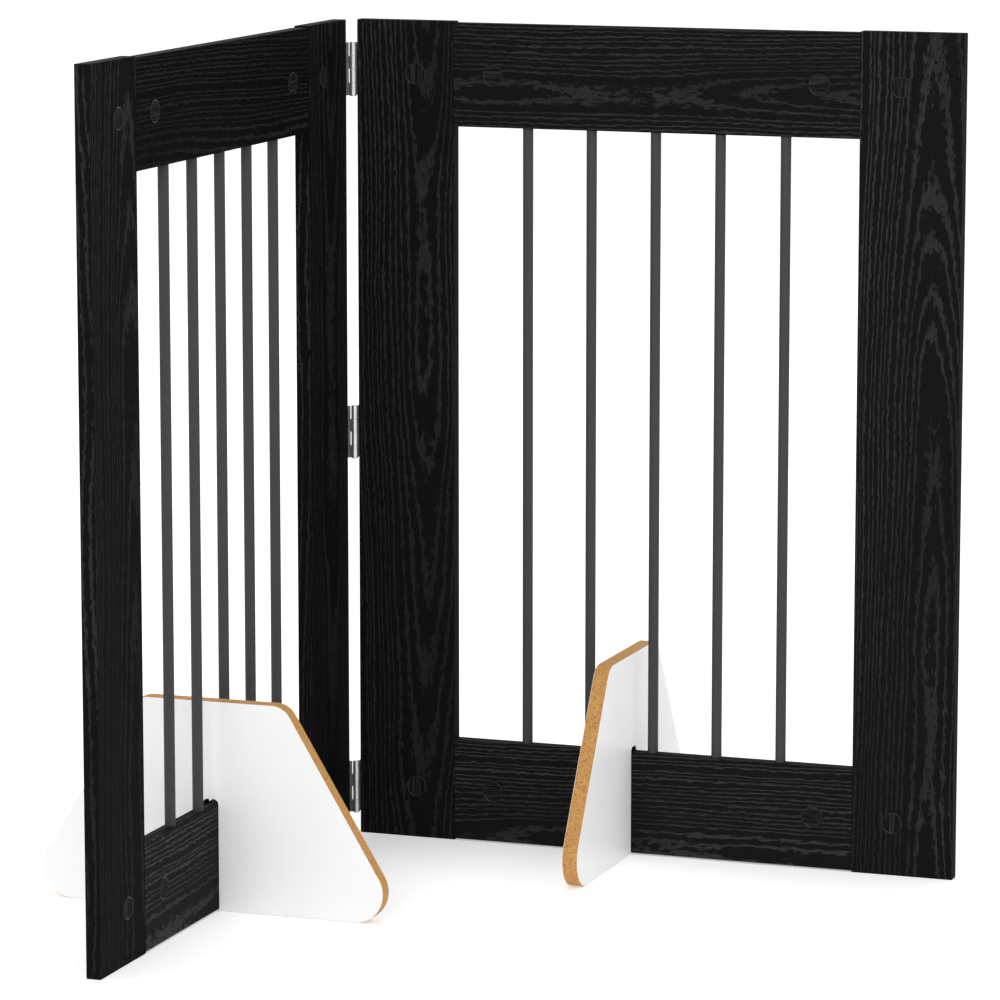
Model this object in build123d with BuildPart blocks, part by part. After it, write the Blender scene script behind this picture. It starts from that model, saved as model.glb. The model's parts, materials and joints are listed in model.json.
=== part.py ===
from build123d import *
import os

# A free-standing folding pet gate. Two framed timber panels with round steel bars are
# joined by three butt hinges and stand square to each other. A slotted foot drops over
# each panel's bottom rail and keeps it upright. Millimetres, +Z up.
# The origin is on the floor, at the centre of the gate's box with the panels square.

# ---- Panels: two stiles and two rails each ----
panel_width = 600.0
panel_height = 800.0
board_thickness = 14.0
stile_width = 99.0
rail_height = 99.0
rail_inset = 1.5  # the rails stop this far short of the stiles' ends
board_edge_round = 0.8

# ---- Bars ----
bar_count = 5
bar_pitch = 64.0
bar_diameter = 10.0
bar_seat_clearance = 0.5  # each side of the bar
bar_seat_depth = 12.0

# ---- Hidden joints between stile and rail: two cams, a double-ended bolt, two dowels ----
cam_diameter = 15.0
cam_from_joint = 39.5
cam_back_wall = 1.8  # timber left behind the cam pocket
cam_clearance = 0.1
cam_drive_length = 8.0
cam_drive_width = 1.6
cam_drive_depth = 0.6
bolt_diameter = 7.0
bolt_hole_clearance = 0.5
bolt_neck_diameter = 4.6
bolt_neck_length = 9.0
bolt_neck_clearance = 0.4
bolt_head_diameter = 7.0
bolt_head_length = 3.0
bolt_head_side_clearance = 1.0
bolt_head_height_clearance = 0.25
dowel_diameter = 8.0
dowel_length = 40.0
dowel_spacing = 64.0
dowel_side_clearance = 0.05
dowel_end_clearance = 0.5

# ---- Press-in covers over the cams ----
cover_diameter = 21.0
cover_flange = 0.9
cover_dish_depth = 0.35
cover_dish_rim = 1.6
cover_plug_depth = 1.5
cover_to_cam_gap = 0.9
cover_plug_clearance = 0.15
cover_edge_round = 0.3

# ---- Hinges ----
hinge_length = 51.0
hinge_from_end = 47.5  # hinge centre to the panel's top or bottom
knuckle_count = 4
knuckle_gap = 0.3
leaf_thickness = 1.2
leaf_from_axis = 0.7
axis_from_face = 6.0  # the hinge axis stands clear of the panels' inner faces
leaf_back_margin = 1.2
leaf_barrel_gap = 0.4
pin_diameter = 4.0
pin_running_clearance = 0.05
pin_head_diameter = 5.6
pin_head_height = 0.8
pin_end_float = 0.1
screw_count = 3
screw_pitch = 17.0
screw_diameter = 3.0
screw_length = 16.0
screw_point = 3.0
screw_head_diameter = 5.8
screw_clearance = 0.05

# ---- Feet: a raw-edged board with a thin white laminate on each face ----
foot_thickness = 15.0
laminate_thickness = 0.4
laminate_edge = 0.3  # the laminate stops short of the board's edge
foot_height = 197.0
foot_base_width = 382.0  # between the sharp corners, before they are rounded
foot_top_width = 146.0
foot_base_round = 28.0
foot_top_round = 20.0
foot_from_middle_bar = 27.0
foot_slot_clearance = 0.5  # each side of the rail
foot_slot_headroom = 4.5  # above the rail
foot_slot_round = 4.5

# ---- Sizes that follow from those above ----
rail_length = panel_width - 2 * stile_width
rail_centre_low = rail_inset + rail_height / 2
rail_centre_high = panel_height - rail_centre_low
bar_length = panel_height - 2 * (rail_inset + rail_height - bar_seat_depth)
bar_seat_diameter = bar_diameter + 2 * bar_seat_clearance
cam_pocket_depth = board_thickness - cam_back_wall
cam_height = cam_pocket_depth - cover_plug_depth - cover_to_cam_gap
cam_chamber_radius = bolt_head_diameter / 2 + bolt_head_side_clearance
cam_chamber_height = bolt_head_diameter + 2 * bolt_head_height_clearance
cam_neck_slot_width = bolt_neck_diameter + 2 * bolt_neck_clearance
middle = board_thickness / 2
end_from_axis = leaf_from_axis + leaf_thickness
barrel_radius = pin_diameter / 2 + pin_running_clearance + leaf_thickness
knuckle_length = (hinge_length - (knuckle_count - 1) * knuckle_gap) / knuckle_count
knuckle_step = knuckle_length + knuckle_gap
leaf_end = axis_from_face + board_thickness - leaf_back_margin
screw_head_height = leaf_thickness  # the head is sunk flush in the leaf
screw_heights = [(i - (screw_count - 1) / 2) * screw_pitch for i in range(screw_count)]
hinge_heights = {
    "top": panel_height - hinge_from_end,
    "middle": panel_height / 2,
    "bottom": hinge_from_end,
}
foot_from_left = panel_width / 2 - foot_from_middle_bar
slot_width = board_thickness + 2 * foot_slot_clearance
slot_height = rail_inset + rail_height + foot_slot_headroom

# A foot's rounded corner bulges past the point where its curve leaves the floor.
foot_slope = Vector((foot_base_width - foot_top_width) / 2, foot_height).normalized()
foot_reach = foot_base_width / 2 - foot_base_round * (1 + foot_slope.X - foot_slope.Y) / foot_slope.Y

# The gate's box runs from the tip of one foot to the outer end of the other panel.
panel_middle_from_axis = axis_from_face + middle
box_low = panel_middle_from_axis + foot_reach
box_high = end_from_axis + panel_width
hinge_x = -(box_high - box_low) / 2
hinge_y = -hinge_x

# Each panel has its own plane on its inner face. Its origin is the panel's lower left
# corner seen from inside the corner, x runs along the panel, y up and z inwards.
panels = {
    "right": Plane(
        origin=(hinge_x + end_from_axis, hinge_y + axis_from_face, 0),
        x_dir=(1, 0, 0),
        z_dir=(0, -1, 0),
    ),
    "left": Plane(
        origin=(hinge_x - axis_from_face, hinge_y - end_from_axis - panel_width, 0),
        x_dir=(0, 1, 0),
        z_dir=(1, 0, 0),
    ),
}
hinge_is_on_left = {"right": True, "left": False}


def save(builder, name):
    """Label a finished piece and write it as its own node."""
    builder.part.label = name
    export_step(builder.part, f"parts/{name}.step")


def across(panel, along, height=0.0):
    """A plane square across a panel at mid-thickness: x up, y inwards, z along it."""
    origin = panel.from_local_coords((along, height, -middle))
    return Plane(origin=origin, x_dir=(0, 0, 1), z_dir=panel.x_dir)


def joint_lines(panel_side):
    """The two lines where the rails butt on the stiles: (distance along, hinge end?)."""
    hinge_first = hinge_is_on_left[panel_side]
    return [(stile_width, hinge_first), (panel_width - stile_width, not hinge_first)]


def bore_joint_end(panel, joint, into, centre):
    """Bore one board's end at a joint: a cam pocket, the bolt's hole and two dowel holes."""
    with BuildSketch(panel) as pocket:
        with Locations((joint + into * cam_from_joint, centre)):
            Circle(cam_diameter / 2)
    with BuildSketch(across(panel, joint, centre)) as bolt_hole:
        Circle(bolt_diameter / 2 + bolt_hole_clearance)
    with BuildSketch(across(panel, joint, centre)) as dowel_holes:
        with GridLocations(dowel_spacing, 0, 2, 1):
            Circle(dowel_diameter / 2)
    extrude(pocket.sketch, amount=-cam_pocket_depth, mode=Mode.SUBTRACT)
    extrude(bolt_hole.sketch, amount=into * cam_from_joint, mode=Mode.SUBTRACT)
    dowel_depth = dowel_length / 2 + dowel_end_clearance
    extrude(dowel_holes.sketch, amount=into * dowel_depth, mode=Mode.SUBTRACT)


def make_stile(name, panel, start, joint, with_hinges):
    """An upright board, bored for both rails and, at the hinge end, for the screws."""
    into = 1 if start >= joint else -1
    with BuildPart() as stile:
        with BuildSketch(panel):
            with Locations((start + stile_width / 2, panel_height / 2)):
                Rectangle(stile_width, panel_height)
        extrude(amount=-board_thickness)
        fillet(stile.edges(), board_edge_round)
        for centre in (rail_centre_low, rail_centre_high):
            bore_joint_end(panel, joint, into, centre)
        if with_hinges:
            end = start if into < 0 else start + stile_width
            depth = screw_length - leaf_thickness + screw_clearance
            for hinge_height in hinge_heights.values():
                with BuildSketch(across(panel, end, hinge_height)):
                    with GridLocations(screw_pitch, 0, screw_count, 1):
                        Circle(screw_diameter / 2 + screw_clearance)
                extrude(amount=-into * depth, mode=Mode.SUBTRACT)
    save(stile, name)


def make_rail(name, panel, centre, window_side):
    """A level board between the stiles, with a row of blind seats for the bars' ends."""
    with BuildPart() as rail:
        with BuildSketch(panel):
            with Locations((panel_width / 2, centre)):
                Rectangle(rail_length, rail_height)
        extrude(amount=-board_thickness)
        long_edges = rail.edges().filter_by(Axis(panel.origin, panel.x_dir))
        fillet(long_edges, board_edge_round)
        seat_plane = Plane(
            origin=panel.from_local_coords(
                (panel_width / 2, centre + window_side * rail_height / 2, -middle)
            ),
            x_dir=panel.x_dir,
            z_dir=(0, 0, window_side),
        )
        with BuildSketch(seat_plane):
            with GridLocations(bar_pitch, 0, bar_count, 1):
                Circle(bar_seat_diameter / 2)
        extrude(amount=-bar_seat_depth, mode=Mode.SUBTRACT)
        bore_joint_end(panel, stile_width, 1, centre)
        bore_joint_end(panel, panel_width - stile_width, -1, centre)
    save(rail, name)


def make_bar(name, panel, number):
    """A straight steel bar that stands on the bottom of its seat in each rail."""
    along = panel_width / 2 + (number - (bar_count + 1) / 2) * bar_pitch
    foot_of_bar = panel.from_local_coords(
        (along, (panel_height - bar_length) / 2, -middle)
    )
    with BuildPart() as bar:
        with BuildSketch(Plane(origin=foot_of_bar, z_dir=(0, 0, 1))):
            Circle(bar_diameter / 2)
        extrude(amount=bar_length)
    save(bar, name)


def make_cams(name, panel):
    """Round cams lying in their pockets, each slotted on one side for the bolt's neck."""
    floor_of_pocket = panel.offset(-cam_pocket_depth)
    bolt_level = panel.offset(-middle)
    with BuildPart() as cams:
        for joint in (stile_width, panel_width - stile_width):
            for centre in (rail_centre_low, rail_centre_high):
                for into in (-1, 1):
                    along = joint + into * cam_from_joint
                    with BuildSketch(floor_of_pocket):
                        with Locations((along, centre)):
                            Circle(cam_diameter / 2 - cam_clearance)
                    extrude(amount=cam_height)
                    with BuildSketch(bolt_level):
                        with Locations((along, centre)):
                            Circle(cam_chamber_radius)
                        with Locations((along - into * cam_diameter / 4, centre)):
                            Rectangle(cam_diameter / 2, cam_neck_slot_width)
                    extrude(amount=cam_chamber_height / 2, both=True, mode=Mode.SUBTRACT)
                    with BuildSketch(floor_of_pocket.offset(cam_height)):
                        with Locations((along, centre)):
                            Rectangle(cam_drive_length, cam_drive_width)
                            Rectangle(cam_drive_width, cam_drive_length)
                    extrude(amount=-cam_drive_depth, mode=Mode.SUBTRACT)
    save(cams, name)


def make_bolts(name, panel):
    """Double-ended bolts: a plain shank through the joint, a neck and head in each cam."""
    shank_length = 2 * (cam_from_joint - bolt_neck_length)
    neck_to_neck = 2 * (cam_from_joint - bolt_head_length / 2)
    with BuildPart() as bolts:
        for joint in (stile_width, panel_width - stile_width):
            for centre in (rail_centre_low, rail_centre_high):
                with BuildSketch(across(panel, joint, centre)):
                    Circle(bolt_diameter / 2)
                extrude(amount=shank_length / 2, both=True)
                with BuildSketch(across(panel, joint, centre)):
                    Circle(bolt_neck_diameter / 2)
                extrude(amount=neck_to_neck / 2, both=True)
                for into in (-1, 1):
                    head_plane = across(panel, joint + into * cam_from_joint, centre)
                    with BuildSketch(head_plane):
                        Circle(bolt_head_diameter / 2)
                    extrude(amount=bolt_head_length / 2, both=True)
    save(bolts, name)


def make_dowels(name, panel):
    """Two grooveless beech dowels across each joint, above and below the bolt."""
    with BuildPart() as dowels:
        for joint in (stile_width, panel_width - stile_width):
            for centre in (rail_centre_low, rail_centre_high):
                with BuildSketch(across(panel, joint, centre)):
                    with GridLocations(dowel_spacing, 0, 2, 1):
                        Circle(dowel_diameter / 2 - dowel_side_clearance)
                extrude(amount=dowel_length / 2, both=True)
    save(dowels, name)


def make_covers(name, panel):
    """Dished round covers: a flange on the board's face and a plug in the cam's pocket."""
    with BuildPart() as covers:
        for joint in (stile_width, panel_width - stile_width):
            for centre in (rail_centre_low, rail_centre_high):
                for into in (-1, 1):
                    spot = (joint + into * cam_from_joint, centre)
                    with BuildSketch(panel):
                        with Locations(spot):
                            Circle(cover_diameter / 2)
                    extrude(amount=cover_flange)
                    with BuildSketch(panel):
                        with Locations(spot):
                            Circle(cam_diameter / 2 - cover_plug_clearance)
                    extrude(amount=-cover_plug_depth)
                    with BuildSketch(panel.offset(cover_flange)):
                        with Locations(spot):
                            Circle(cover_diameter / 2 - cover_dish_rim)
                    extrude(amount=-cover_dish_depth, mode=Mode.SUBTRACT)
        outward = Axis(panel.origin, panel.z_dir)
        rims = covers.edges().group_by(outward)[-1]
        fillet(rims, cover_edge_round)
    save(covers, name)


def leaf_plan(panel_side, height):
    """A level plane on the hinge axis: x along the panel, y through its thickness."""
    panel = panels[panel_side]
    away = panel.x_dir if hinge_is_on_left[panel_side] else -panel.x_dir
    through = -panel.z_dir
    return Plane(origin=(hinge_x, hinge_y, height), x_dir=away, z_dir=away.cross(through))


def leaf_screw_planes(panel_side, hinge_height):
    """One plane for each screw on the leaf's open face, facing out of it."""
    plan = leaf_plan(panel_side, hinge_height)
    spot = plan.from_local_coords((leaf_from_axis, axis_from_face + middle, 0))
    return [
        Plane(origin=spot + Vector(0, 0, rise), x_dir=(0, 0, 1), z_dir=-plan.x_dir)
        for rise in screw_heights
    ]


def make_leaf(name, panel_side, hinge_height, first_knuckle):
    """A hinge leaf: a plate screwed to the stile's edge, rolled into every other knuckle."""
    plate_start = barrel_radius + leaf_barrel_gap
    plate_middle = leaf_from_axis + leaf_thickness / 2
    top_knuckle = hinge_height + hinge_length / 2 - knuckle_length / 2
    with BuildPart() as leaf:
        with BuildSketch(leaf_plan(panel_side, hinge_height)):
            with Locations((plate_middle, (plate_start + leaf_end) / 2)):
                Rectangle(leaf_thickness, leaf_end - plate_start)
        extrude(amount=hinge_length / 2, both=True)
        for number in range(first_knuckle, knuckle_count, 2):
            knuckle_height = top_knuckle - number * knuckle_step
            with BuildSketch(leaf_plan(panel_side, knuckle_height)):
                Circle(barrel_radius)
                with Locations((plate_middle, plate_start / 2)):
                    Rectangle(leaf_thickness, plate_start)
            extrude(amount=knuckle_length / 2, both=True)
        with BuildSketch(leaf_plan(panel_side, hinge_height)):
            Circle(pin_diameter / 2 + pin_running_clearance)
        extrude(amount=hinge_length, both=True, mode=Mode.SUBTRACT)
        with Locations(*leaf_screw_planes(panel_side, hinge_height)):
            CounterSinkHole(
                radius=screw_diameter / 2 + screw_clearance,
                counter_sink_radius=screw_head_diameter / 2 + screw_clearance,
                depth=leaf_thickness,
            )
    save(leaf, name)


def make_pin(name, hinge_height):
    """The hinge's loose pin, with a low head at each end that keeps it in."""
    low_end = hinge_height - hinge_length / 2 - pin_end_float
    pin_length = hinge_length + 2 * pin_end_float
    with BuildPart() as pin:
        with BuildSketch(Plane((hinge_x, hinge_y, low_end))):
            Circle(pin_diameter / 2)
        extrude(amount=pin_length)
        with BuildSketch(Plane((hinge_x, hinge_y, low_end + pin_length))):
            Circle(pin_head_diameter / 2)
        extrude(amount=pin_head_height)
        with BuildSketch(Plane((hinge_x, hinge_y, low_end))):
            Circle(pin_head_diameter / 2)
        extrude(amount=-pin_head_height)
    save(pin, name)


def make_hinge_screws(name, panel_side):
    """The countersunk wood screws that hold one panel's three leaves."""
    head = screw_head_diameter / 2
    shank = screw_diameter / 2
    with BuildPart() as screws:
        for hinge_height in hinge_heights.values():
            for face in leaf_screw_planes(panel_side, hinge_height):
                with BuildSketch(Plane(face.origin, x_dir=face.x_dir, z_dir=face.y_dir)):
                    with BuildLine():
                        # Half of the screw's outline; the sketch's -Y leads out of the leaf.
                        Polyline(
                            (0, 0),
                            (head, 0),
                            (shank, screw_head_height),
                            (shank, screw_length - screw_point),
                            (0, screw_length),
                            close=True,
                        )
                    make_face()
                revolve(axis=Axis(face.origin, face.z_dir))
    save(screws, name)


def make_foot_layer(name, panel, centre, thickness, inset):
    """One layer of a foot: a rounded trapezoid with a slot that drops over the rail."""
    half_base = foot_base_width / 2
    half_top = foot_top_width / 2
    origin = panel.from_local_coords((foot_from_left + centre, 0, -middle))
    with BuildPart() as layer:
        with BuildSketch(Plane(origin, x_dir=panel.z_dir, z_dir=-panel.x_dir)) as outline:
            with BuildLine():
                Polyline(
                    (-half_base, 0),
                    (half_base, 0),
                    (half_top, foot_height),
                    (-half_top, foot_height),
                    close=True,
                )
            make_face()
            fillet(outline.vertices().group_by(Axis.Y)[0], foot_base_round)
            fillet(outline.vertices().group_by(Axis.Y)[-1], foot_top_round)
            with Locations((0, slot_height / 2)):
                Rectangle(slot_width, slot_height, mode=Mode.SUBTRACT)
            slot_corners = outline.vertices().filter_by_position(
                Axis.Y, slot_height - 0.01, slot_height + 0.01
            )
            fillet(slot_corners, foot_slot_round)
            if inset > 0:
                offset(amount=-inset)
        extrude(amount=thickness / 2, both=True)
    save(layer, name)


def make_panel(panel_side):
    """Every piece that is fixed in one panel."""
    panel = panels[panel_side]
    for joint, at_hinge in joint_lines(panel_side):
        role = "hinge" if at_hinge else "outer"
        start = 0 if joint == stile_width else joint
        make_stile(f"{panel_side}_{role}_stile", panel, start, joint, at_hinge)
    make_rail(f"{panel_side}_bottom_rail", panel, rail_centre_low, 1)
    make_rail(f"{panel_side}_top_rail", panel, rail_centre_high, -1)
    for number in range(1, bar_count + 1):
        make_bar(f"{panel_side}_bar_{number}", panel, number)
    make_cams(f"{panel_side}_cams", panel)
    make_bolts(f"{panel_side}_cam_bolts", panel)
    make_dowels(f"{panel_side}_dowels", panel)
    make_covers(f"{panel_side}_cam_covers", panel)
    make_hinge_screws(f"{panel_side}_hinge_screws", panel_side)


def make_foot(panel_side):
    """One foot: its core board and the laminate on each side."""
    panel = panels[panel_side]
    core_thickness = foot_thickness - 2 * laminate_thickness
    skin_centre = (core_thickness + laminate_thickness) / 2
    make_foot_layer(f"{panel_side}_foot_core", panel, 0, core_thickness, 0)
    for layer, centre in (("a", -skin_centre), ("b", skin_centre)):
        name = f"{panel_side}_foot_laminate_{layer}"
        make_foot_layer(name, panel, centre, laminate_thickness, laminate_edge)


os.makedirs("parts", exist_ok=True)
for side in panels:
    make_panel(side)
    make_foot(side)
for place, height in hinge_heights.items():
    make_leaf(f"{place}_hinge_right_leaf", "right", height, 0)
    make_leaf(f"{place}_hinge_left_leaf", "left", height, 1)
    make_pin(f"{place}_hinge_pin", height)
print(f"gate box {box_low + box_high:.2f} x {box_low + box_high:.2f} x {panel_height:.2f}")
print(f"hinge axis at x {hinge_x:.3f}, y {hinge_y:.3f}")
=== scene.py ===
import json
import math

import bmesh
import bpy
from mathutils import Matrix, Vector


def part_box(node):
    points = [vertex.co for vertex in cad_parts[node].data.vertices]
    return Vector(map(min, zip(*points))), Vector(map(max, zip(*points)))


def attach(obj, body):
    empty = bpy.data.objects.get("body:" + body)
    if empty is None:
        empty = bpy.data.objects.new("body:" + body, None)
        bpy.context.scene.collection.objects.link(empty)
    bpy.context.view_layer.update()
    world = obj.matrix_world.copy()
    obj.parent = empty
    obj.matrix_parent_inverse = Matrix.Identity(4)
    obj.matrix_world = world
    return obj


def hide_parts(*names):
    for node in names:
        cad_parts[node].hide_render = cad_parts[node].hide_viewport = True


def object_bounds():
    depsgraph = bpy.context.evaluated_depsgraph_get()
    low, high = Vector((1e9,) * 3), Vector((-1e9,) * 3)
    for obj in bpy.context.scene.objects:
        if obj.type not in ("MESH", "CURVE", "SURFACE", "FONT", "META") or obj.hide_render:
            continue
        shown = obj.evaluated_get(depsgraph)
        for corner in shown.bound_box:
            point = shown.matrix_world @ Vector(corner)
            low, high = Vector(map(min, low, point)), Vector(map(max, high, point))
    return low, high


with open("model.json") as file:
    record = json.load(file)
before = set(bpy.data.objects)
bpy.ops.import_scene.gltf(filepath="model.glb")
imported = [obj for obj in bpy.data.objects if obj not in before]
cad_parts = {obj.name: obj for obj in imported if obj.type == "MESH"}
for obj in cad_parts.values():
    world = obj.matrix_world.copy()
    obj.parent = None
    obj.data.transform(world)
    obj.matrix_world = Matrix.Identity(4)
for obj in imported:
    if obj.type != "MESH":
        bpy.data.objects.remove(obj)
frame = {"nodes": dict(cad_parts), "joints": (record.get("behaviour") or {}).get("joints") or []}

cad_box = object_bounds()
scene = bpy.context.scene

# ---- The room: floor, daylight and camera -----------------------------------------
# The gate stands on a seamless white floor that glows a little, as a lit studio sweep
# does. The light is soft and even, a bit stronger from the front, from three panels.
scene.view_settings.view_transform = "Standard"
scene.view_settings.look = "None"

floor_size = 80.0


def placed(form, name):
    """Turn a bmesh into an object in the scene."""
    mesh = bpy.data.meshes.new(name)
    form.to_mesh(mesh)
    form.free()
    made = bpy.data.objects.new(name, mesh)
    scene.collection.objects.link(made)
    return made


floor_form = bmesh.new()
bmesh.ops.create_grid(floor_form, x_segments=1, y_segments=1, size=floor_size / 2)
floor = placed(floor_form, "floor")

floor_paint = bpy.data.materials.new("floor_paint")
floor_paint.use_nodes = True
floor_shader = floor_paint.node_tree.nodes["Principled BSDF"]
floor_shader.inputs["Base Color"].default_value = (0.9, 0.9, 0.9, 1.0)
floor_shader.inputs["Roughness"].default_value = 0.9
floor_shader.inputs["Specular IOR Level"].default_value = 0.1
floor_shader.inputs["Emission Color"].default_value = (1.0, 1.0, 1.0, 1.0)
floor_shader.inputs["Emission Strength"].default_value = 0.32
floor.data.materials.append(floor_paint)

surround = bpy.data.worlds.new("surround")
surround.use_nodes = True
sky = surround.node_tree.nodes["Background"]
sky.inputs["Color"].default_value = (1.0, 1.0, 1.0, 1.0)
sky.inputs["Strength"].default_value = 0.88
scene.world = surround


def soft_panel(name, place, aim, width, power):
    """A square light panel that faces the point it is aimed at."""
    lamp = bpy.data.lights.new(name, "AREA")
    lamp.shape = "SQUARE"
    lamp.size = width
    lamp.energy = power
    holder = bpy.data.objects.new(name, lamp)
    holder.location = place
    facing = Vector(aim) - Vector(place)
    holder.rotation_euler = facing.to_track_quat("-Z", "Y").to_euler()
    scene.collection.objects.link(holder)


gate_middle = (cad_box[0] + cad_box[1]) / 2
soft_panel("front_light", (0.2, -4.7, 2.6), gate_middle, width=2.4, power=71.0)
soft_panel("side_light", (4.6, -0.5, 2.4), gate_middle, width=2.4, power=30.0)
soft_panel("back_light", (-2.5, 4.2, 3.2), gate_middle, width=3.0, power=50.0)

camera_azimuth = math.radians(19.6)
camera_elevation = math.radians(9.33)
camera_distance = 4.604
aim_from_middle = Vector((0.015, 0.0, -0.0225))
camera_lens = bpy.data.cameras.new("camera")
camera_lens.lens = 180.3
camera_lens.sensor_width = 36.0
camera_lens.clip_end = 200.0
camera = bpy.data.objects.new("camera", camera_lens)
towards_camera = Vector((
    math.sin(camera_azimuth) * math.cos(camera_elevation),
    -math.cos(camera_azimuth) * math.cos(camera_elevation),
    math.sin(camera_elevation),
))
camera.location = gate_middle + aim_from_middle + towards_camera * camera_distance
camera.rotation_euler = (-towards_camera).to_track_quat("-Z", "Y").to_euler()
scene.collection.objects.link(camera)
scene.camera = camera


# ---- Stiles and rails: black-stained boards ---------------------------------------
# Flat-sawn boards of an open-grained timber, stained black so that the pores show as
# lighter lines. The grain runs the length of each board: upright in a stile, level in a
# rail. Each is cut from another part of the tree, so no two carry the same figure.
stain_dark = 0.0055
stain_light = 0.031
timber_specular = 0.006
timber_roughness = (0.52, 0.72)
pore_depth = 0.0002
ring_spacing = 0.0038
ring_sway = (0.0, 0.024, 0.024)
# How far good and bad years, wiggles and raggedness shift a ring, in ring spacings.
ring_unevenness = 1.8
ring_wiggle = 0.85
ring_raggedness = 0.50
# Waves per metre along the grain, across it and through the board.
sway_pitch = (2.4, 10.0, 10.0)
wiggle_pitch = (120.0, 240.0, 240.0)
ragged_pitch = (75.0, 850.0, 850.0)
pore_pitch = (85.0, 1500.0, 1500.0)
# Waves per metre out from the heart.
year_pitch = 95.0
# How pale the wood is through one year's ring, among its pores and between the clouds.
year_tones = ((0.0, 0.0), (0.05, 1.0), (0.28, 0.85), (0.37, 0.10), (0.50, 0.0))
pore_tones = ((0.34, 0.30), (0.50, 1.0))
cloud_tones = ((0.35, 0.45), (0.62, 1.0))
least_pore_tone = 0.05
# Metres along the trunk for each metre that the heart lies off, so boards differ.
trunk_step = 7.0
relief_strength = 0.35


def add_node(tree, kind, sockets=None, **settings):
    """A shader node with its settings, fed by values or by other nodes' outputs."""
    made = tree.nodes.new(kind)
    for key, value in settings.items():
        setattr(made, key, value)
    for key, value in (sockets or {}).items():
        if isinstance(value, bpy.types.NodeSocket):
            tree.links.new(value, made.inputs[key])
        else:
            made.inputs[key].default_value = value
    return made


def new_finish(name, specular, metallic=0.0):
    """A material with its shader's even values set, and its tree, shader and place."""
    finish = bpy.data.materials.new(name)
    finish.use_nodes = True
    tree = finish.node_tree
    shader = tree.nodes["Principled BSDF"]
    shader.inputs["Specular IOR Level"].default_value = specular
    shader.inputs["Metallic"].default_value = metallic
    place = add_node(tree, "ShaderNodeTexCoord").outputs["Object"]
    return finish, tree, shader, place


def noise_at(tree, place, pitch, detail=3.0, roughness=0.5):
    """Noise with a pitch of its own, in waves per metre, along each axis."""
    stretched = add_node(tree, "ShaderNodeVectorMath", {0: place, 1: pitch},
                         operation="MULTIPLY")
    return add_node(tree, "ShaderNodeTexNoise", {
        "Vector": stretched.outputs[0],
        "Scale": 1.0,
        "Detail": detail,
        "Roughness": roughness,
    })


def calculate(tree, operation, *values):
    """The output of one sum on numbers or on other nodes' outputs."""
    return add_node(tree, "ShaderNodeMath", dict(enumerate(values)),
                    operation=operation).outputs[0]


def ramp_between(tree, source, *stops):
    """A ramp of greys through (position, grey) stops."""
    ramp = add_node(tree, "ShaderNodeValToRGB", {"Fac": source})
    points = ramp.color_ramp.elements
    while len(points) < len(stops):
        points.new(0.5)
    for point, (position, grey) in zip(points, stops):
        point.position = position
        point.color = (grey, grey, grey, 1.0)
    return ramp.outputs["Color"]


def colour_between(tree, share, first, second):
    """A mix of two colours by a share from nought to one."""
    mixed = add_node(tree, "ShaderNodeMix", {"Factor": share, "A": first, "B": second},
                     data_type="RGBA")
    return mixed.outputs["Result"]


def set_surface(tree, shader, colour, roughness_share, roughness, height, depth):
    """Link a colour, a roughness that ranges over (low, high), and a relief in metres,
    which is cut inwards where the depth is below nought."""
    tree.links.new(colour, shader.inputs["Base Color"])
    sheen = add_node(tree, "ShaderNodeMapRange", {
        "Value": roughness_share,
        "To Min": roughness[0],
        "To Max": roughness[1],
    })
    tree.links.new(sheen.outputs["Result"], shader.inputs["Roughness"])
    relief = add_node(tree, "ShaderNodeBump", {
        "Height": height,
        "Strength": relief_strength,
        "Distance": abs(depth),
    }, invert=depth < 0)
    tree.links.new(relief.outputs["Normal"], shader.inputs["Normal"])


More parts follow.
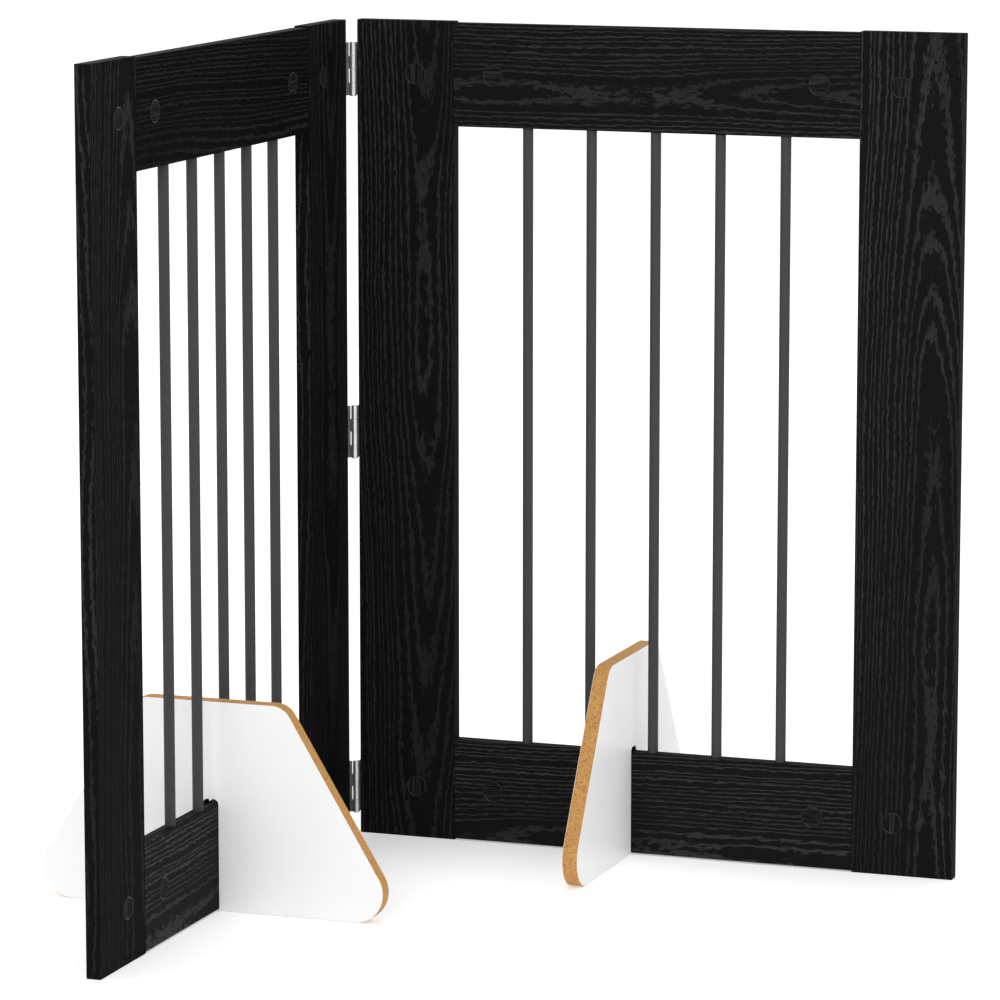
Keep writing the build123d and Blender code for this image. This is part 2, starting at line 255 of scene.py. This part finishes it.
def stained_timber(name, middle, grain, heart, lean, stain_and_shade):
    """Black stain over flat-sawn grain. grain names the object's axes that run along,
    across and through the board; heart is the tree's centre from the board's, across and
    through; lean is how far the tree's centre line tips from the board, in degrees; the
    last argument scales the stain's greys, partly for how pale the board has stayed under
    the same stain and partly as painted shade on boards that stand in shade."""
    finish, tree, shader, place = new_finish(name, timber_specular)
    centred = add_node(tree, "ShaderNodeMapping", {"Vector": place, "Location": -middle})
    parts = add_node(tree, "ShaderNodeSeparateXYZ", {"Vector": centred.outputs[0]})
    board = add_node(tree, "ShaderNodeCombineXYZ", {
        "X": parts.outputs[grain[0]],
        "Y": parts.outputs[grain[1]],
        "Z": parts.outputs[grain[2]],
    })
    in_tree = add_node(tree, "ShaderNodeMapping", {
        "Vector": board.outputs[0],
        "Location": (trunk_step * heart[0], heart[0], heart[1]),
        "Rotation": (0.0, math.radians(lean[0]), math.radians(lean[1])),
    }).outputs[0]

    # The rings sway slowly along the trunk and are ragged close to.
    sway = noise_at(tree, in_tree, sway_pitch, detail=3.0, roughness=0.42)
    about_nought = add_node(tree, "ShaderNodeVectorMath",
                            {0: sway.outputs["Color"], 1: (0.5, 0.5, 0.5)},
                            operation="SUBTRACT")
    swayed = add_node(tree, "ShaderNodeVectorMath",
                      {0: about_nought.outputs[0], 1: ring_sway, 2: in_tree},
                      operation="MULTIPLY_ADD")
    across_trunk = add_node(tree, "ShaderNodeVectorMath",
                            {0: swayed.outputs[0], 1: (0.0, 1.0, 1.0)},
                            operation="MULTIPLY")
    radius = add_node(tree, "ShaderNodeVectorMath", {0: across_trunk.outputs[0]},
                      operation="LENGTH")
    years = calculate(tree, "DIVIDE", radius.outputs["Value"], ring_spacing)
    weather = add_node(tree, "ShaderNodeTexNoise", {
        "W": radius.outputs["Value"],
        "Scale": year_pitch,
        "Detail": 1.0,
    }, noise_dimensions="1D")
    wiggle = noise_at(tree, in_tree, wiggle_pitch, detail=2.0)
    ragged = noise_at(tree, in_tree, ragged_pitch, detail=4.0, roughness=0.62)
    for noise, shift in ((weather, ring_unevenness), (wiggle, ring_wiggle),
                         (ragged, ring_raggedness)):
        years = calculate(tree, "MULTIPLY_ADD", noise.outputs["Fac"], shift, years)
    year_share = calculate(tree, "FRACT", years)
    bands = ramp_between(tree, year_share, *year_tones)

    # Open pores are fine dashes along the grain, which break the bands up, and the stain
    # has taken a little more or less in broad clouds.
    pores = noise_at(tree, in_tree, pore_pitch, detail=2.0)
    dashes = ramp_between(tree, pores.outputs["Fac"], *pore_tones)
    figure = calculate(tree, "MULTIPLY", bands, dashes)
    clouds = ramp_between(tree, sway.outputs["Fac"], *cloud_tones)
    clouded = calculate(tree, "MULTIPLY", figure, clouds)
    pores_alone = calculate(tree, "MULTIPLY", dashes, least_pore_tone)
    lightness = calculate(tree, "MAXIMUM", clouded, pores_alone)
    # The greys are scaled per board: partly real stain, partly painted shade.
    stain = colour_between(
        tree, lightness,
        (stain_dark * stain_and_shade, stain_dark * stain_and_shade, stain_dark * stain_and_shade, 1.0),
        (stain_light * stain_and_shade, stain_light * stain_and_shade, stain_light * stain_and_shade, 1.0),
    )
    set_surface(tree, shader, stain, lightness, timber_roughness, figure, -pore_depth)
    return finish


def give_finish(node_name, material):
    """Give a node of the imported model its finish."""
    for slot in frame["nodes"][node_name].material_slots:
        slot.material = material


# For each board: where the heart of the tree lay (m), how it leans (degrees) and how
# pale it shows, which is partly the stain's take and partly painted shade.
boards = {
    "right_hinge_stile": ((-0.020, 0.050), (1.9, 0.3), 0.92),
    "right_outer_stile": ((-0.024, 0.044), (-1.8, 0.2), 1.08),
    "right_top_rail": ((0.014, 0.038), (1.4, -0.3), 1.06),
    "right_bottom_rail": ((0.044, 0.036), (0.8, -0.9), 1.22),
    # Painted shade: the left panel's hinge stile and top rail are darkened for the shade that
    # panel stands in.
    "left_hinge_stile": ((-0.006, 0.046), (1.5, -0.3), 0.62),
    "left_outer_stile": ((-0.034, 0.046), (-1.4, 0.3), 0.90),
    "left_top_rail": ((0.062, 0.036), (-0.6, 1.2), 0.62),
    "left_bottom_rail": ((0.046, 0.040), (0.7, 0.9), 1.85),
}
# The object's axes along, across and through each kind of board.
grain_axes = {
    ("right", "stile"): ("Z", "X", "Y"),
    ("right", "rail"): ("X", "Z", "Y"),
    ("left", "stile"): ("Z", "Y", "X"),
    ("left", "rail"): ("Y", "Z", "X"),
}
for board_name, (heart, lean, stain_and_shade) in boards.items():
    side, kind = board_name.split("_")[0], board_name.split("_")[-1]
    low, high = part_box(board_name)
    timber = stained_timber(
        f"stained_{board_name}", (low + high) / 2, grain_axes[side, kind], heart, lean, stain_and_shade
    )
    give_finish(board_name, timber)


# ---- Bars: coated steel rod -------------------------------------------------------
# Ten straight rods of drawn steel, powder coated dark grey. Their ends are deburred and
# stand in blind seats in the rails, which are a little wider than the rods.
rod_sides = 64
rod_deburr = 0.0004
tolerance = 1e-6


def fine_finish(name, colours, cloud_pitch, grain_pitch, roughness, specular, depth,
                metallic=0.0):
    """A finish that shifts between two colours in clouds, with a fine grained surface."""
    finish, tree, shader, place = new_finish(name, specular, metallic)
    clouds = noise_at(tree, place, cloud_pitch)
    grains = noise_at(tree, place, grain_pitch, detail=2.0)
    colour = colour_between(tree, clouds.outputs["Fac"], *colours)
    set_surface(tree, shader, colour, grains.outputs["Fac"], roughness,
                grains.outputs["Fac"], depth)
    return finish


powder_coat = fine_finish(
    "powder_coat",
    colours=((0.046, 0.046, 0.046, 1.0), (0.057, 0.057, 0.057, 1.0)),
    cloud_pitch=(1100.0, 1100.0, 1100.0),
    grain_pitch=(1100.0, 1100.0, 1100.0),
    roughness=(0.48, 0.62),
    specular=0.06,
    depth=0.00006,
)


def finish_piece(form, name, materials, body, slot, *nodes):
    """Turn a bmesh into a piece that rides on a body and stands for CAD nodes."""
    piece = placed(form, name)
    for material in materials:
        piece.data.materials.append(material)
    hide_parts(*nodes)
    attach(piece, body)


def smooth_all_but(form, sharp_angle):
    """Smooth shading, with every edge sharper than the angle kept crisp."""
    for face in form.faces:
        face.smooth = True
    for edge in form.edges:
        edge.smooth = edge.is_manifold and edge.calc_face_angle(0.0) < sharp_angle


for side in ("right", "left"):
    for number in range(1, 6):
        bar_name = f"{side}_bar_{number}"
        low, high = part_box(bar_name)
        rod = bmesh.new()
        bmesh.ops.create_cone(
            rod,
            cap_ends=True,
            segments=rod_sides,
            radius1=(high.x - low.x) / 2,
            radius2=(high.x - low.x) / 2,
            depth=high.z - low.z,
            matrix=Matrix.Translation((low + high) / 2),
        )
        rims = [e for e in rod.edges if abs(e.verts[0].co.z - e.verts[1].co.z) < tolerance]
        bmesh.ops.bevel(
            rod, geom=rims, offset=rod_deburr, affect="EDGES", segments=2,
            profile=0.5, material=-1,
        )
        smooth_all_but(rod, sharp_angle=math.radians(40))
        finish_piece(
            rod, f"rod_{side}_{number}", [powder_coat], f"{side}_panel", "bar_coating",
            bar_name,
        )


# ---- Cam covers: dished press-in caps ---------------------------------------------
# Sixteen black moulded caps, 21 mm across, pressed into the cam pockets. Each has a
# glossy raised rim, and its dish is faced with a foil grained like its board.
cover_radius = 0.0105
cover_height = 0.0009
cover_rim = 0.0013
cover_dish = 0.00035
cover_edge = 0.0006
cover_plug_radius = 0.00735
cover_plug_depth = 0.0015
cover_from_joint = 0.0395
cover_steps = 64
cover_edge_steps = 3
foil_dark = (0.0060, 0.0060, 0.0060, 1.0)
foil_light = (0.0260, 0.0260, 0.0260, 1.0)
foil_relief = 0.0001
foil_specular = 0.012
foil_roughness = (0.46, 0.58)
streak_tones = ((0.45, 0.0), (0.68, 1.0))


def cover_foil(name, streak_pitch):
    """Black foil with faint streaks of their own pitch along each axis."""
    finish, tree, shader, place = new_finish(name, foil_specular)
    streaks = noise_at(tree, place, streak_pitch)
    shown = ramp_between(tree, streaks.outputs["Fac"], *streak_tones)
    colour = colour_between(tree, shown, foil_dark, foil_light)
    set_surface(tree, shader, colour, shown, foil_roughness, shown, foil_relief)
    return finish


foils = {
    ("right", "stile"): cover_foil("cover_foil_upright", (700.0, 700.0, 40.0)),
    ("right", "rail"): cover_foil("cover_foil_along_x", (40.0, 700.0, 700.0)),
    ("left", "rail"): cover_foil("cover_foil_along_y", (700.0, 40.0, 700.0)),
}
foils["left", "stile"] = foils["right", "stile"]
glossy_black = fine_finish(
    "glossy_black",
    colours=((0.0050, 0.0050, 0.0050, 1.0), (0.0090, 0.0090, 0.0090, 1.0)),
    cloud_pitch=(400.0, 400.0, 400.0),
    grain_pitch=(1800.0, 1800.0, 1800.0),
    roughness=(0.20, 0.34),
    specular=0.20,
    depth=0.00002,
)
edge_turns = [math.radians(90 * n / cover_edge_steps) for n in range(cover_edge_steps + 1)]
cover_outline = (
    (0.0, -cover_plug_depth),
    (cover_plug_radius, -cover_plug_depth),
    (cover_plug_radius, 0.0),
    (cover_radius, 0.0),
    *((cover_radius - cover_edge * (1 - math.cos(turn)),
       cover_height - cover_edge * (1 - math.sin(turn))) for turn in edge_turns),
    (cover_radius - cover_rim, cover_height - cover_dish),
    (0.0, cover_height - cover_dish),
)
# How each panel lies: which way it runs and which way its covered face looks.
panel_lie = {
    "right": (Vector((1, 0, 0)), Vector((0, -1, 0))),
    "left": (Vector((0, 1, 0)), Vector((1, 0, 0))),
}


def spun(outline, steps):
    """A closed round form: an outline of (radius, height) points turned about Z."""
    form = bmesh.new()
    corners = [form.verts.new((radius, 0.0, height)) for radius, height in outline]
    edges = [form.edges.new(pair) for pair in zip(corners, corners[1:])]
    bmesh.ops.spin(
        form, geom=corners + edges, cent=(0, 0, 0), axis=(0, 0, 1),
        angle=math.tau, steps=steps, use_merge=True,
    )
    bmesh.ops.remove_doubles(form, verts=form.verts, dist=tolerance)
    bmesh.ops.recalc_face_normals(form, faces=form.faces)
    return form


def move_into(whole, form):
    """Add a bmesh to another one, and free it."""
    loose = bpy.data.meshes.new("loose")
    form.to_mesh(loose)
    form.free()
    whole.from_mesh(loose)
    bpy.data.meshes.remove(loose)


for side, (along, inward) in panel_lie.items():
    for kind in ("stile", "rail"):
        covers = bmesh.new()
        for rail_name in (f"{side}_top_rail", f"{side}_bottom_rail"):
            low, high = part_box(rail_name)
            face_middle = (low + high) / 2 + inward * abs(inward.dot(high - low)) / 2
            half_rail = abs(along.dot(high - low)) / 2
            step = cover_from_joint if kind == "stile" else -cover_from_joint
            for way in (-1, 1):
                cap = spun(cover_outline, cover_steps)
                centre = face_middle + along * way * (half_rail + step)
                upright = Vector((0, 0, 1)).rotation_difference(inward).to_matrix().to_4x4()
                cap.transform(Matrix.Translation(centre) @ upright)
                move_into(covers, cap)
        smooth_all_but(covers, sharp_angle=math.radians(35))
        # The dish is a fan of triangles, and everything round it has four corners.
        for face in covers.faces:
            face.material_index = 1 if len(face.verts) == 4 else 0
        finish_piece(
            covers, f"covers_{side}_{kind}", [foils[side, kind], glossy_black],
            f"{side}_panel", "cover_plastic", f"{side}_cam_covers",
        )


# ---- Hinges: rolled steel leaves on a headed pin ----------------------------------
# Three two-inch butt hinges. Each leaf is 1.2 mm bright strip, rolled round the pin into
# two of the four knuckles, set back to the stile's edge and countersunk for three screws.
strip_thickness = 0.0012
strip_from_axis = 0.0007
strip_corner = 0.0014
strip_edge_break = 0.00012
barrel_radius = 0.00325
knuckle_gap = 0.0003
knuckle_count = 4
plate_start = 0.00365
roll_seam = math.radians(68)
roll_turn = math.radians(330)
roll_steps = 30
# Where the strip's middle line runs as it bends back from the barrel to the plate.
set_back = ((0.00178, 0.0024), (0.00142, 0.0029))
screw_pitch = 0.017
screw_hole_radius = 0.00155
screw_hole_depth = 0.006
sink_radius = 0.00304
sink_depth = 0.0017
sink_sides = 40
pin_radius = 0.002
pin_head_height = 0.0008
pin_steps = 48
# The dome of a pin's head: its radius as a share of the head's, and the height there.
pin_dome = ((0.0, 0.0), (0.62, 0.00005), (0.9, 0.00022), (1.0, 0.0005))

bright_steel = fine_finish(
    "bright_steel",
    colours=((0.50, 0.50, 0.50, 1.0), (0.78, 0.78, 0.78, 1.0)),
    cloud_pitch=(160.0, 160.0, 160.0),
    grain_pitch=(2600.0, 2600.0, 90.0),
    roughness=(0.20, 0.42),
    specular=0.5,
    depth=0.00001,
    metallic=0.85,
)

fold = next(joint for joint in frame["joints"] if joint["name"] == "panel_fold")
hinge_axis = Vector((*fold["pos_m"][:2], 0.0))
# Each leaf's own axes: x away from the pin along its panel, y through the board.
leaf_lie = {
    "right": Matrix.Translation(hinge_axis),
    "left": Matrix.Translation(hinge_axis) @ Matrix(
        ((0, -1, 0, 0), (-1, 0, 0, 0), (0, 0, 1, 0), (0, 0, 0, 1))
    ),
}


def reach_through(side, point):
    """How far a point lies from the pin's axis through the side's board."""
    return (leaf_lie[side].inverted() @ point).y


def baked(form, name, *modifiers):
    """A bmesh with modifiers applied, given as (type, settings) pairs."""
    holder = placed(form, name)
    for kind, settings in modifiers:
        added = holder.modifiers.new(kind, kind)
        for key, value in settings.items():
            setattr(added, key, value)
    solved = holder.evaluated_get(bpy.context.evaluated_depsgraph_get())
    result = bpy.data.meshes.new_from_object(solved)
    bpy.data.meshes.remove(holder.data)
    final = bmesh.new()
    final.from_mesh(result)
    bpy.data.meshes.remove(result)
    return final


def rolled_leaf(length, width, first_knuckle):
    """A leaf in its own axes, with its lower end at z = 0."""
    knuckle = (length - (knuckle_count - 1) * knuckle_gap) / knuckle_count
    roll_radius = barrel_radius - strip_thickness / 2
    plate_x = strip_from_axis + strip_thickness / 2
    leaf = bmesh.new()
    seam = leaf.verts.new(
        (roll_radius * math.cos(roll_seam), roll_radius * math.sin(roll_seam), 0)
    )
    rolled = bmesh.ops.spin(
        leaf, geom=[seam], cent=(0, 0, 0), axis=(0, 0, 1), angle=roll_turn,
        steps=roll_steps,
    )
    tip = next(v for v in rolled["geom_last"] if isinstance(v, bmesh.types.BMVert))
    for x, y in (*set_back, (plate_x, plate_start), (plate_x, width)):
        made = bmesh.ops.extrude_vert_indiv(leaf, verts=[tip])
        tip = made["verts"][0]
        tip.co = (x, y, 0)

    # Raise the bent line knuckle by knuckle, then cut away what isn't this leaf's.
    outline = list(leaf.edges)
    for number in range(2 * knuckle_count - 1):
        rise = knuckle if number % 2 == 0 else knuckle_gap
        raised = bmesh.ops.extrude_edge_only(leaf, edges=outline)
        moved = [v for v in raised["geom"] if isinstance(v, bmesh.types.BMVert)]
        bmesh.ops.translate(leaf, verts=moved, vec=(0, 0, rise))
        outline = [e for e in raised["geom"] if isinstance(e, bmesh.types.BMEdge)]
    step = knuckle + knuckle_gap
    surplus = []
    for face in leaf.faces:
        centre = face.calc_center_median()
        level = knuckle_count - 1 - int(centre.z / step)
        in_gap = centre.z % step > knuckle
        if centre.y < plate_start and (in_gap or level % 2 != first_knuckle):
            surplus.append(face)
    bmesh.ops.delete(leaf, geom=surplus, context="FACES")
    corners = [
        v for v in leaf.verts
        if abs(v.co.y - width) < tolerance
        and (v.co.z < tolerance or v.co.z > length - tolerance)
    ]
    bmesh.ops.bevel(
        leaf, geom=corners, offset=strip_corner, affect="VERTICES", segments=5,
        profile=0.5, material=-1,
    )
    bmesh.ops.recalc_face_normals(leaf, faces=leaf.faces)
    return leaf


def screw_spots(side, length):
    """Where the screws go through a leaf, in its own axes, from its lower end."""
    low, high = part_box(f"{side}_hinge_stile")
    board_middle = reach_through(side, (low + high) / 2)
    return [Vector((strip_from_axis, board_middle, length / 2 + n * screw_pitch))
            for n in (-1, 0, 1)]


into_board = Matrix.Rotation(math.radians(90), 4, "Y")
sink_middle = Vector((0.0008, 0.0, 0.0))
hole_middle = Vector((0.0010, 0.0, 0.0))
for place in ("top", "middle", "bottom"):
    for side, first_knuckle in (("right", 0), ("left", 1)):
        node_name = f"{place}_hinge_{side}_leaf"
        low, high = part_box(node_name)
        length = high.z - low.z
        width = max(reach_through(side, low), reach_through(side, high))
        sinks = bmesh.new()
        for spot in screw_spots(side, length):
            bmesh.ops.create_cone(
                sinks, cap_ends=True, segments=sink_sides, radius1=sink_radius,
                radius2=screw_hole_radius, depth=sink_depth,
                matrix=Matrix.Translation(spot + sink_middle) @ into_board,
            )
            bmesh.ops.create_cone(
                sinks, cap_ends=True, segments=sink_sides, radius1=screw_hole_radius,
                radius2=screw_hole_radius, depth=screw_hole_depth,
                matrix=Matrix.Translation(spot + hole_middle) @ into_board,
            )
        cutter = placed(sinks, "sinks")
        leaf = baked(
            rolled_leaf(length, width, first_knuckle),
            "leaf",
            ("SOLIDIFY", {"thickness": strip_thickness, "offset": 0.0}),
            ("BOOLEAN", {"operation": "DIFFERENCE", "object": cutter, "use_self": True}),
            ("BEVEL", {"width": strip_edge_break, "segments": 2,
                       "limit_method": "ANGLE", "angle_limit": math.radians(50)}),
        )
        bpy.data.meshes.remove(cutter.data)
        leaf.transform(Matrix.Translation((0, 0, low.z)) @ leaf_lie[side])
        leaf.normal_update()
        bmesh.ops.recalc_face_normals(leaf, faces=leaf.faces)
        smooth_all_but(leaf, sharp_angle=math.radians(15))
        finish_piece(
            leaf, f"leaf_{place}_{side}", [bright_steel], f"{side}_panel", "hinge_steel",
            node_name,
        )

    pin_name = f"{place}_hinge_pin"
    low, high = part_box(pin_name)
    head_radius = (high.x - low.x) / 2
    length = high.z - low.z
    head = [(share * head_radius, height) for share, height in pin_dome]
    head += [(head_radius, pin_head_height), (pin_radius, pin_head_height)]
    other_head = [(radius, length - height) for radius, height in reversed(head)]
    pin = spun(head + other_head, pin_steps)
    pin.transform(Matrix.Translation(hinge_axis + Vector((0, 0, low.z))))
    smooth_all_but(pin, sharp_angle=math.radians(50))
    finish_piece(
        pin, f"pin_{place}", [bright_steel], "right_panel", "hinge_steel", pin_name
    )


# ---- Hinge screws: countersunk, cross recess --------------------------------------
# Eighteen zinc-plated wood screws, three to a leaf, driven level into the stiles' edges.
# Their heads lie flush in the leaves.
screw_head_radius = 0.0029
screw_head_edge = 0.00008
screw_sides = 32
screw_shank_radius = 0.0015
screw_length = 0.016
screw_point = 0.003
recess_length = 0.0032
recess_width = 0.0007
recess_depth = 0.0009
screw_outline = (
    (0.0, 0.0),
    (screw_head_radius - screw_head_edge, 0.0),
    (screw_head_radius, screw_head_edge),
    (screw_shank_radius, strip_thickness),
    (screw_shank_radius, screw_length - screw_point),
    (0.0, screw_length),
)
for side in ("right", "left"):
    screws = bmesh.new()
    for place in ("top", "middle", "bottom"):
        low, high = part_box(f"{place}_hinge_{side}_leaf")
        for spot in screw_spots(side, high.z - low.z):
            recess = bmesh.new()
            for arm in ((recess_length, recess_width), (recess_width, recess_length)):
                size = Matrix.Diagonal((*arm, recess_depth * 2, 1.0))
                bmesh.ops.create_cube(recess, size=1.0, matrix=size)
            cutter = placed(recess, "recess")
            screw = baked(
                spun(screw_outline, screw_sides),
                "screw",
                ("BOOLEAN", {"operation": "DIFFERENCE", "object": cutter, "use_self": True}),
            )
            bpy.data.meshes.remove(cutter.data)
            lie = leaf_lie[side] @ Matrix.Translation(spot + Vector((0, 0, low.z)))
            screw.transform(lie @ into_board)
            move_into(screws, screw)
    bmesh.ops.recalc_face_normals(screws, faces=screws.faces)
    smooth_all_but(screws, sharp_angle=math.radians(35))
    finish_piece(
        screws, f"screws_{side}", [bright_steel], f"{side}_panel", "hinge_steel",
        f"{side}_hinge_screws",
    )


# ---- Hidden fittings: cams, bolts and dowels --------------------------------------
# Diecast zinc cams and turned steel bolts pull each joint tight, and beech dowels keep
# it in line. All of them are inside the boards, under the covers.
diecast_zinc = fine_finish(
    "diecast_zinc",
    colours=((0.38, 0.38, 0.40, 1.0), (0.60, 0.60, 0.62, 1.0)),
    cloud_pitch=(500.0, 500.0, 500.0),
    grain_pitch=(900.0, 900.0, 900.0),
    roughness=(0.38, 0.52),
    specular=0.5,
    depth=0.00004,
    metallic=1.0,
)
raw_beech = fine_finish(
    "raw_beech",
    colours=((0.46, 0.29, 0.16, 1.0), (0.66, 0.46, 0.28, 1.0)),
    cloud_pitch=(700.0, 700.0, 700.0),
    grain_pitch=(1200.0, 1200.0, 1200.0),
    roughness=(0.62, 0.78),
    specular=0.3,
    depth=0.00005,
)

hidden_finishes = (("cams", diecast_zinc), ("cam_bolts", diecast_zinc), ("dowels", raw_beech))
for side in ("right", "left"):
    for name, material in hidden_finishes:
        give_finish(f"{side}_{name}", material)


# ---- Feet: raw-edged board faced with white melamine ------------------------------
# Each foot is a 15 mm particle board, sawn to a rounded trapezoid and slotted to drop
# over the bottom rail. Both faces are white laminate; the sawn edge is left raw, and
# shows its chips and dark flecks of bark. Inside the slot the board is coloured near
# black as painted shade, for the shade that falls in the slot round the rail.
chip_pale = (0.57, 0.31, 0.100, 1.0)
chip_warm = (0.36, 0.155, 0.040, 1.0)
bark_brown = (0.20, 0.085, 0.026, 1.0)
# Painted shade: the near-black colour given to the slot's walls, for the shade inside the slot.
slot_shade_black = (0.012, 0.011, 0.010, 1.0)
chip_pitch = 620.0
dust_pitch = (1500.0, 1500.0, 1500.0)
bark_pitch = (520.0, 520.0, 520.0)
bark_tones = ((0.57, 0.0), (0.68, 0.75))
chip_relief = 0.0003
board_roughness = (0.74, 0.88)

raw_board, board_tree, board_shader, board_place = new_finish(
    "raw_particle_board", specular=0.2
)
chips = add_node(board_tree, "ShaderNodeTexVoronoi",
                 {"Vector": board_place, "Scale": chip_pitch})
chip_tone = add_node(board_tree, "ShaderNodeSeparateColor", {"Color": chips.outputs["Color"]})
dust = noise_at(board_tree, board_place, dust_pitch)
warmth = calculate(board_tree, "MULTIPLY", chip_tone.outputs["Red"], dust.outputs["Fac"])
chip_colour = colour_between(board_tree, warmth, chip_pale, chip_warm)
bark = noise_at(board_tree, board_place, bark_pitch, detail=2.0)
bark_mask = ramp_between(board_tree, bark.outputs["Fac"], *bark_tones)
shown_colour = colour_between(board_tree, bark_mask, chip_colour, bark_brown)


def inside_box(tree, point, low, high):
    """One where the point lies in the box, and nought outside it."""
    centred = add_node(tree, "ShaderNodeVectorMath",
                       {0: point, 1: (low + high) / 2}, operation="SUBTRACT")
    away = add_node(tree, "ShaderNodeVectorMath", {0: centred.outputs[0]},
                    operation="ABSOLUTE")
    left_over = add_node(tree, "ShaderNodeVectorMath",
                         {0: (high - low) / 2, 1: away.outputs[0]}, operation="SUBTRACT")
    parts = add_node(tree, "ShaderNodeSeparateXYZ", {"Vector": left_over.outputs[0]})
    least = calculate(tree, "MINIMUM", parts.outputs["X"], parts.outputs["Y"])
    least = calculate(tree, "MINIMUM", least, parts.outputs["Z"])
    return calculate(tree, "GREATER_THAN", least, 0.0)


slot_clearance = 0.0005
slot_headroom = 0.0045
# The painted shade's box goes a little into the slot's walls, and past the foot's ends.
shade_into_wall = 0.0003
shade_past_end = 0.001
for side, long_axis in (("right", 0), ("left", 1)):
    foot_low, foot_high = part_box(f"{side}_foot_core")
    rail_low, rail_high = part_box(f"{side}_bottom_rail")
    room = Vector((slot_clearance + shade_into_wall,) * 3)
    low, high = rail_low - room, rail_high + room
    low[long_axis] = foot_low[long_axis] - shade_past_end
    high[long_axis] = foot_high[long_axis] + shade_past_end
    low.z = -shade_past_end
    high.z = rail_high.z + slot_headroom + shade_into_wall
    # Painted shade: the slot's walls are coloured near black where the slot's shade falls.
    slot_shade_mask = inside_box(board_tree, board_place, low, high)
    shown_colour = colour_between(board_tree, slot_shade_mask, shown_colour, slot_shade_black)
set_surface(board_tree, board_shader, shown_colour, dust.outputs["Fac"], board_roughness,
            chips.outputs["Distance"], chip_relief)

melamine = fine_finish(
    "white_melamine",
    colours=((0.83, 0.83, 0.83, 1.0), (0.87, 0.87, 0.87, 1.0)),
    cloud_pitch=(14.0, 14.0, 14.0),
    grain_pitch=(1600.0, 1600.0, 1600.0),
    roughness=(0.29, 0.35),
    specular=0.15,
    depth=0.00003,
)

for side in ("right", "left"):
    give_finish(f"{side}_foot_core", raw_board)
    give_finish(f"{side}_foot_laminate_a", melamine)
    give_finish(f"{side}_foot_laminate_b", melamine)
